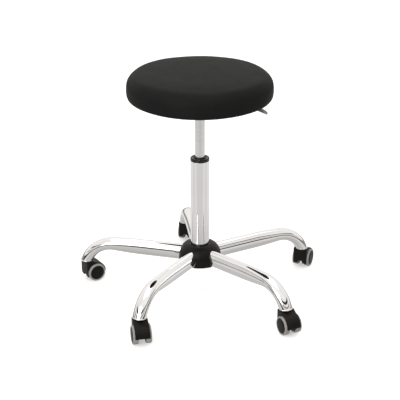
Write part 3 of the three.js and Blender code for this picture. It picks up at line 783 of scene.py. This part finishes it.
# ---- column and gas lift --------------------------------------------------------
def make_column():
    inner = COLUMN_RADIUS - COLUMN_WALL
    floor = COLUMN_BOTTOM + COLUMN_FLOOR
    column = lathe("column_shell", [
        (ROD_HOLE, COLUMN_BOTTOM), (COLUMN_RADIUS, COLUMN_BOTTOM, 1), (COLUMN_RADIUS, COLUMN_TOP, 0.5),
        (inner, COLUMN_TOP, 0.4), (inner, floor), (ROD_HOLE, floor),
    ], sides=COLUMN_SIDES)
    dressed(column, "chrome", "base", "column_tube")

    lip = COLUMN_TOP + BUSH_LIP
    foot = low("guide_bush")[2]
    bush = lathe("guide_ring", [
        (TUBE_RADIUS + RUN_GAP, foot), (inner - FIT_GAP, foot, 0.6), (inner - FIT_GAP, COLUMN_TOP + FIT_GAP),
        (COLUMN_RADIUS, COLUMN_TOP + FIT_GAP, 0.3), (COLUMN_RADIUS, lip - 0.4, 3),
        (COLUMN_RADIUS - BUSH_SHOULDER, lip, 1.6), (TUBE_RADIUS + BUSH_FUNNEL, lip - 1, 1.6),
        (TUBE_RADIUS + RUN_GAP, lip - BUSH_FUNNEL, 0.3),
    ])
    dressed(bush, "gloss_plastic", "base", "guide_bush")

    wall = TUBE_RADIUS - TUBE_WALL
    neck = TUBE_RADIUS - TUBE_TAPER
    tube = lathe("gas_tube", [
        (ROD_HOLE, TUBE_BOTTOM), (TUBE_RADIUS, TUBE_BOTTOM, 0.8), (TUBE_RADIUS, SOCKET_BOTTOM),
        (neck, TUBE_TOP, 0.6), (BUTTON_BORE, TUBE_TOP), (BUTTON_BORE, TUBE_TOP - BUTTON_DEPTH),
        (0, TUBE_TOP - BUTTON_DEPTH), (0, TUBE_TOP - TUBE_HEAD), (wall - 1, TUBE_TOP - TUBE_HEAD),
        (wall, SOCKET_BOTTOM), (wall, TUBE_BOTTOM + TUBE_FLOOR), (ROD_HOLE, TUBE_BOTTOM + TUBE_FLOOR),
    ])
    dressed(tube, "satin_steel", "seat_lift", "pressure_tube")


# ---- hub and legs -----------------------------------------------------------------
def leg_path():
    """[x, z, slope] along a leg's centreline, from inside the hub to past its outer end."""
    path = []
    start = SOCKET_RADIUS + 0.5
    for k in range(STRAIGHT_STEPS):
        x = start + (BEND_START - start) * k / STRAIGHT_STEPS
        path.append((x, BEND_HEIGHT - (BEND_START - x) * math.tan(LEG_RISE), LEG_RISE))
    for k in range(BEND_STEPS + 1):
        slope = LEG_RISE + (LEG_FALL - LEG_RISE) * k / BEND_STEPS
        x = BEND_START + LEG_BEND * (math.sin(LEG_RISE) - math.sin(slope))
        path.append((x, BEND_HEIGHT - LEG_BEND * (math.cos(LEG_RISE) - math.cos(slope)), slope))
    x, z, slope = path[-1]
    path.append((x + LEG_PAST * math.cos(slope), z + LEG_PAST * math.sin(slope), slope))
    return path


def leg_section(x, z, slope, sides=64):
    share = smoothstep(x, REACH * TAPER_START, REACH * TAPER_END)
    depth = HUB_DEPTH + (END_DEPTH - HUB_DEPTH) * share
    width = HUB_WIDTH + (END_WIDTH - HUB_WIDTH) * share
    ring = []
    for k in range(sides):
        angle = 2 * math.pi * k / sides
        up = depth / 2 * math.sin(angle)
        ring.append((x - up * math.sin(slope), width / 2 * math.cos(angle), z + up * math.cos(slope)))
    return ring


def leg_master():
    leg = loft("leg", [leg_section(*station) for station in leg_path()])
    half, deep = LEG_CUT, LEG_END - LEG_CUT
    below = extruded("below", [(-half, deep), (half, deep), (half, LEG_END), (-half, LEG_END)], 2 * half)
    combined(leg, moved(below, shift(x=REACH)), "DIFFERENCE")
    bead = bmesh.new()
    long_half = END_DEPTH / 2 / math.sin(-LEG_FALL) - BEAD * BEAD_SUNK
    wide_half = END_WIDTH / 2 - BEAD * BEAD_SUNK
    rings = []
    for k in range(ROUND_SIDES):
        angle = 2 * math.pi * k / ROUND_SIDES
        out = Vector((math.cos(angle) / long_half, math.sin(angle) / wide_half, 0)).normalized()
        middle = Vector((long_half * math.cos(angle), wide_half * math.sin(angle), LEG_END + BEAD))
        ring = []
        for i in range(BEAD_SIDES):
            a = 2 * math.pi * i / BEAD_SIDES
            up = Vector((0, 0, BEAD * math.sin(a)))
            ring.append(bead.verts.new(middle + out * BEAD * math.cos(a) + up))
        rings.append(ring)
    for k, ring in enumerate(rings):
        after = rings[(k + 1) % len(rings)]
        for i in range(BEAD_SIDES):
            n = (i + 1) % BEAD_SIDES
            bead.faces.new([ring[i], ring[n], after[n], after[i]])
    rim = piece_from(bead, "bead")
    combined(leg, moved(rim, shift(x=REACH)), "UNION")
    bore = lathe("bore", [
        (0, 0), (LEG_BORE, 0), (LEG_BORE, LEG_END + LEG_BORE_HEIGHT), (0, LEG_END + LEG_BORE_HEIGHT),
    ], sides=40)
    combined(leg, moved(bore, shift(x=REACH)), "DIFFERENCE")
    shade(leg, 40)
    return leg


def hub_cover_master():
    height = COVER_TOP - COVER_BOTTOM
    outer = through([
        [COVER_LIP, COVER_TOP], [COVER_LIP + 5, COVER_TOP - COVER_STEP],
        [COVER_RADIUS * 0.76, COVER_TOP - height * 0.1], [COVER_RADIUS * 0.88, COVER_TOP - height * 0.24],
        [COVER_RADIUS * 0.96, COVER_TOP - height * 0.42], [COVER_RADIUS, COVER_TOP - height * 0.66],
        [COVER_RADIUS, COVER_BOTTOM],
    ], 5)
    under = COVER_TOP - COVER_WALL
    inner = through([
        [COVER_RADIUS - COVER_WALL, COVER_BOTTOM], [COVER_RADIUS - COVER_WALL, COVER_TOP - height * 0.62],
        [COVER_RADIUS * 0.84, COVER_TOP - height * 0.32], [COVER_RADIUS * 0.74, under - height * 0.12],
        [SOCKET_RADIUS + 1, under - COVER_STEP],
    ], 4)
    mouth = [(COVER_MOUTH, under - COVER_STEP, 0.4), (COVER_MOUTH, COVER_TOP, 1.2)]
    cover = lathe("hub_dome", [*outer, *inner, *mouth], sides=COVER_SIDES)
    half, up = HUB_WIDTH / 2 + COVER_GAP, HUB_DEPTH / 2 + COVER_GAP
    outline = [(half * math.cos(math.radians(a)), up * math.sin(math.radians(a))) for a in range(0, 360, 5)]
    for k in range(5):
        window = extruded("window", outline, 2 * WINDOW_REACH, along="X")
        place = turn(leg_azimuth(k + 1), "Z") @ shift(SOCKET_RADIUS + WINDOW_REACH, 0, HUB_LINE + COVER_GAP)
        combined(cover, moved(window, place), "DIFFERENCE")
    bevelled(cover, 0.7, 3, 40)
    return cover


def leg_azimuth(number):
    place = joints[f"castor_{number}_swivel"]["pos_m"]
    return math.degrees(math.atan2(place[1], place[0]))


def make_base():
    master = leg_master()
    for number in range(1, 6):
        leg = copied(master, f"leg_shell_{number}", turn(leg_azimuth(number), "Z"))
        dressed(leg, "chrome", "base", f"leg_{number}")
    bpy.data.objects.remove(master)
    dressed(hub_cover_master(), "black_plastic", "base", "hub_cover")


# ---- castors -----------------------------------------------------------------------
# In a castor's own frame the stem stands on the origin and the axle lies along Y at x = TRAIL.
def hood_master():
    x, z = TRAIL, AXLE_HEIGHT
    skirt = math.degrees(math.asin((SKIRT_HEIGHT - z) / FENDER))
    back = arc(x, z, FENDER, 180 - skirt, 180, 10)
    visor = math.degrees(math.asin((VISOR_HEIGHT - z) / FENDER))
    front = arc(x, z, FENDER, FENDER_START, visor, 40)
    top = filleted([
        (x - FENDER, z), (x - FENDER, HOOD_TOP, 3), (TOWER_BACK, HOOD_TOP, 3), (front[0][0], front[0][1]),
    ])
    outline = [*back[:-1], *top[:-1], *front]
    hood = extruded("hood", outline, HOOD_WIDTH)
    bevelled(hood, HOOD_ROUND, 5, 50)
    welded(hood)
    web = (WHEEL_TRACK - WHEEL_WIDTH) / 2 - RUN_GAP
    pocket_radius = AXLE_HEIGHT + FENDER_CLEARANCE
    for side in (-1, 1):
        pocket = lathe("pocket", [
            (0, web), (pocket_radius, web, 1), (pocket_radius, HOOD_WIDTH), (0, HOOD_WIDTH),
        ])
        moved(pocket, shift(x, 0, z) @ turn(-90 * side, "X"))
        combined(hood, pocket, "DIFFERENCE")
    half = web - TUNNEL_WALL
    crown = arc(0, ARCH_HEIGHT - half, half, 0, 180, 20)
    tunnel = extruded("tunnel", [*crown, (-half, -5), (half, -5)], 4 * FENDER, along="X")
    combined(hood, tunnel, "DIFFERENCE")
    boss = lathe("boss", [
        (0, -web), (AXLE + BOSS_WALL, -web), (AXLE + BOSS_WALL, web), (0, web),
    ], sides=48)
    combined(hood, moved(boss, shift(x, 0, z) @ turn(-90, "X")), "UNION")
    axle = lathe("axle", [
        (0, -AXLE_CUT), (AXLE + FIT_GAP, -AXLE_CUT), (AXLE + FIT_GAP, AXLE_CUT), (0, AXLE_CUT),
    ], sides=40)
    combined(hood, moved(axle, shift(x, 0, z) @ turn(-90, "X")), "DIFFERENCE")
    bottom, top = HOOD_TOP - STEM_DEPTH, HOOD_TOP + 2
    stem = lathe("stem", [(0, bottom), (STEM_BORE, bottom), (STEM_BORE, top), (0, top)], sides=40)
    combined(hood, stem, "DIFFERENCE")
    welded(hood)
    bevelled(hood, 0.4, 2, 45)
    return welded(hood)


def wheel_master():
    rim = AXLE_HEIGHT - TYRE_DEPTH - FIT_GAP
    face = WHEEL_WIDTH + CAP_DOME
    return lathe("wheel", [
        (0, CAP_BORE_DEPTH), (CAP_BORE, CAP_BORE_DEPTH), (CAP_BORE, RUN_GAP), (rim, RUN_GAP, 0.6),
        (rim, WHEEL_WIDTH - 0.2, 1.2),
        (rim - 2.6, face - 0.8, 1.2), (rim - 4.2, face - 1.5, 0.8), (rim - 9, face - 0.5, 4), (0, face),
    ])


def tyre_master():
    inner = AXLE_HEIGHT - TYRE_DEPTH
    return lathe("tyre", [
        (inner, 0, 0.3), (AXLE_HEIGHT, 0, 2), (AXLE_HEIGHT, WHEEL_WIDTH, 2.2), (inner, WHEEL_WIDTH, 0.4),
    ])


def make_castors():
    hood, wheel, tyre = hood_master(), wheel_master(), tyre_master()
    inner = (WHEEL_TRACK - WHEEL_WIDTH) / 2
    for number in range(1, 6):
        stem = Vector(joints[f"castor_{number}_swivel"]["pos_m"]) / MM
        hub = Vector(joints[f"castor_{number}_left_spin"]["pos_m"]) / MM
        trail = math.degrees(math.atan2(hub.y - stem.y, hub.x - stem.x))
        place = shift(stem.x, stem.y, 0) @ turn(trail, "Z")
        shell = copied(hood, f"castor_shell_{number}", place)
        dressed(shell, "black_plastic", f"castor_{number}", f"castor_{number}_hood")
        for side, sign in (("left", 1), ("right", -1)):
            local = place @ shift(TRAIL, sign * inner, AXLE_HEIGHT) @ turn(-90 * sign, "X")
            body = f"castor_{number}_{side}"
            cap = copied(wheel, f"wheel_cap_{number}_{side}", local)
            dressed(cap, "black_plastic", body, f"castor_{number}_wheel_{side}")
            tread = copied(tyre, f"tread_{number}_{side}", local)
            dressed(tread, "grey_rubber", body, f"castor_{number}_tyre_{side}")
    for master in (hood, wheel, tyre):
        bpy.data.objects.remove(master)


# ---- studio -------------------------------------------------------------------------
CAMERA_ELEVATION = math.radians(22.893)
CAMERA_DISTANCE = 3.1527
CAMERA_TARGET = (0.0003, 0.0, 0.2621)
CAMERA_LENS = 107.2
FLOOR_HALF = 12
FLOOR_GLOW = 0.36
BACKDROP_RADIUS = 30
BACKDROP_GLOW = 1.0
STUDIO_STRENGTH = 1.0
OVERHEAD_POWER = 16
FRONT_POWER = 38
# brightness by the height of a direction, from straight down at -1 to straight up at 1
STUDIO_FRONT = [
    (-1.0, 0.54), (-0.50, 0.64), (-0.42, 0.78), (-0.24, 0.80), (-0.20, 0.55), (-0.15, 0.04), (-0.03, 0.04),
    (0.01, 0.80), (0.12, 0.92), (0.15, 0.22), (0.19, 0.22), (0.22, 0.95), (0.30, 0.95), (0.35, 0.04),
    (0.43, 0.04), (0.48, 1.0), (1.0, 1.0),
]
STUDIO_BACK = [
    (-1.0, 0.54), (-0.50, 0.64), (-0.42, 0.80), (-0.29, 0.84), (-0.20, 0.30), (-0.03, 0.30), (0.01, 0.90),
    (1.0, 1.0),
]
# from the front at -1 to the back at 1: how bright a direction is, and how much it belongs to the back
STUDIO_DEPTHS = [(-1.0, 0.84), (-0.85, 0.82), (-0.62, 0.98), (-0.2, 0.86), (0.3, 0.96), (1.0, 1.0)]
STUDIO_TURN = [(-0.1, 0.0), (0.2, 1.0)]


def make_camera():
    data = bpy.data.cameras.new("camera")
    data.sensor_width = 36
    data.lens = CAMERA_LENS
    data.clip_end = 200
    camera = bpy.data.objects.new("camera", data)
    bpy.context.scene.collection.objects.link(camera)
    x, y, z = CAMERA_TARGET
    back = CAMERA_DISTANCE * math.cos(CAMERA_ELEVATION)
    camera.location = (x, y - back, z + CAMERA_DISTANCE * math.sin(CAMERA_ELEVATION))
    camera.rotation_euler = (math.pi / 2 - CAMERA_ELEVATION, 0, 0)
    bpy.context.scene.camera = camera


def glowing(name, dark, light, strength):
    """A matt surface that also gives off white light."""
    s = Surface(name, 0.9, specular=0.0)
    s.colour(s.noise(0.5, 1), grey(dark), grey(light))
    s.shader.inputs["Emission Color"].default_value = (1, 1, 1, 1)
    s.shader.inputs["Emission Strength"].default_value = strength
    return s.material


def make_floor():
    bm = bmesh.new()
    bmesh.ops.create_grid(bm, x_segments=1, y_segments=1, size=FLOOR_HALF / MM)
    floor = piece_from(bm, "floor")
    floor.data.materials.append(glowing("pale_floor", 0.93, 0.95, FLOOR_GLOW))

    bm = bmesh.new()
    bmesh.ops.create_uvsphere(bm, u_segments=48, v_segments=24, radius=BACKDROP_RADIUS / MM)
    backdrop = piece_from(bm, "backdrop")
    backdrop.data.materials.append(glowing("pale_backdrop", 0.98, 1.0, BACKDROP_GLOW))
    backdrop.visible_shadow = False
    for stage in (floor, backdrop):
        stage.visible_glossy = False
        stage.visible_diffuse = False


def banded(nodes, source, steps):
    """A colour ramp over a value from -1 to 1, from [value, brightness] steps."""
    ramp = nodes.new("ShaderNodeValToRGB")
    elements = ramp.color_ramp.elements
    while len(elements) < len(steps):
        elements.new(0.5)
    for element, (position, value) in zip(elements, steps):
        element.position = (position + 1) / 2
        element.color = (value * 1.01, value, value * 0.99, 1)
    limits = nodes.new("ShaderNodeMapRange")
    limits.inputs["From Min"].default_value = -1
    links = ramp.id_data.links
    links.new(source, limits.inputs["Value"])
    links.new(limits.outputs["Result"], ramp.inputs["Fac"])
    return ramp.outputs["Color"]


def make_world():
    """A pale studio all round: soft boxes above, dark gaps between them at eye level, a paler back."""
    world = bpy.data.worlds.new("studio")
    world.use_nodes = True
    nodes, links = world.node_tree.nodes, world.node_tree.links
    place = nodes.new("ShaderNodeTexCoord")
    split = nodes.new("ShaderNodeSeparateXYZ")
    links.new(place.outputs["Generated"], split.inputs["Vector"])
    front = banded(nodes, split.outputs["Z"], STUDIO_FRONT)
    back = banded(nodes, split.outputs["Z"], STUDIO_BACK)
    depths = banded(nodes, split.outputs["Y"], STUDIO_DEPTHS)
    heights = nodes.new("ShaderNodeMix")
    heights.data_type = "RGBA"
    links.new(banded(nodes, split.outputs["Y"], STUDIO_TURN), heights.inputs["Factor"])
    links.new(front, heights.inputs["A"])
    links.new(back, heights.inputs["B"])
    mix = nodes.new("ShaderNodeMix")
    mix.data_type = "RGBA"
    mix.blend_type = "MULTIPLY"
    mix.inputs["Factor"].default_value = 1
    links.new(heights.outputs["Result"], mix.inputs["A"])
    links.new(depths, mix.inputs["B"])
    links.new(mix.outputs["Result"], nodes["Background"].inputs["Color"])
    nodes["Background"].inputs["Strength"].default_value = STUDIO_STRENGTH
    bpy.context.scene.world = world


def make_light(name, place, target, size, power):
    data = bpy.data.lights.new(name, "AREA")
    data.shape = "RECTANGLE"
    data.size, data.size_y = size
    data.energy = power
    light = bpy.data.objects.new(name, data)
    bpy.context.scene.collection.objects.link(light)
    light.location = place
    aim = Vector(target) - Vector(place)
    light.rotation_euler = aim.to_track_quat("-Z", "Y").to_euler()


make_camera()
make_seat()
make_staples()
make_plate()
make_bolts()
make_lever()
make_column()
make_base()
make_castors()

replaced_slots = {row["node"]: row["material_slot"] for row in record["subparts"]}
for node, piece in frame["nodes"].items():
    for index in range(len(piece.material_slots)):
        piece.material_slots[index].material = SLOT_SURFACES[replaced_slots[node]]

make_floor()
make_world()
make_light("overhead", (0, 0, 3.2), (0, 0, 0), (3.0, 3.0), OVERHEAD_POWER)
make_light("front", (-1.4, -2.8, 1.5), (0, 0, 0.3), (2.0, 2.0), FRONT_POWER)
bpy.context.scene.view_settings.view_transform = "Standard"
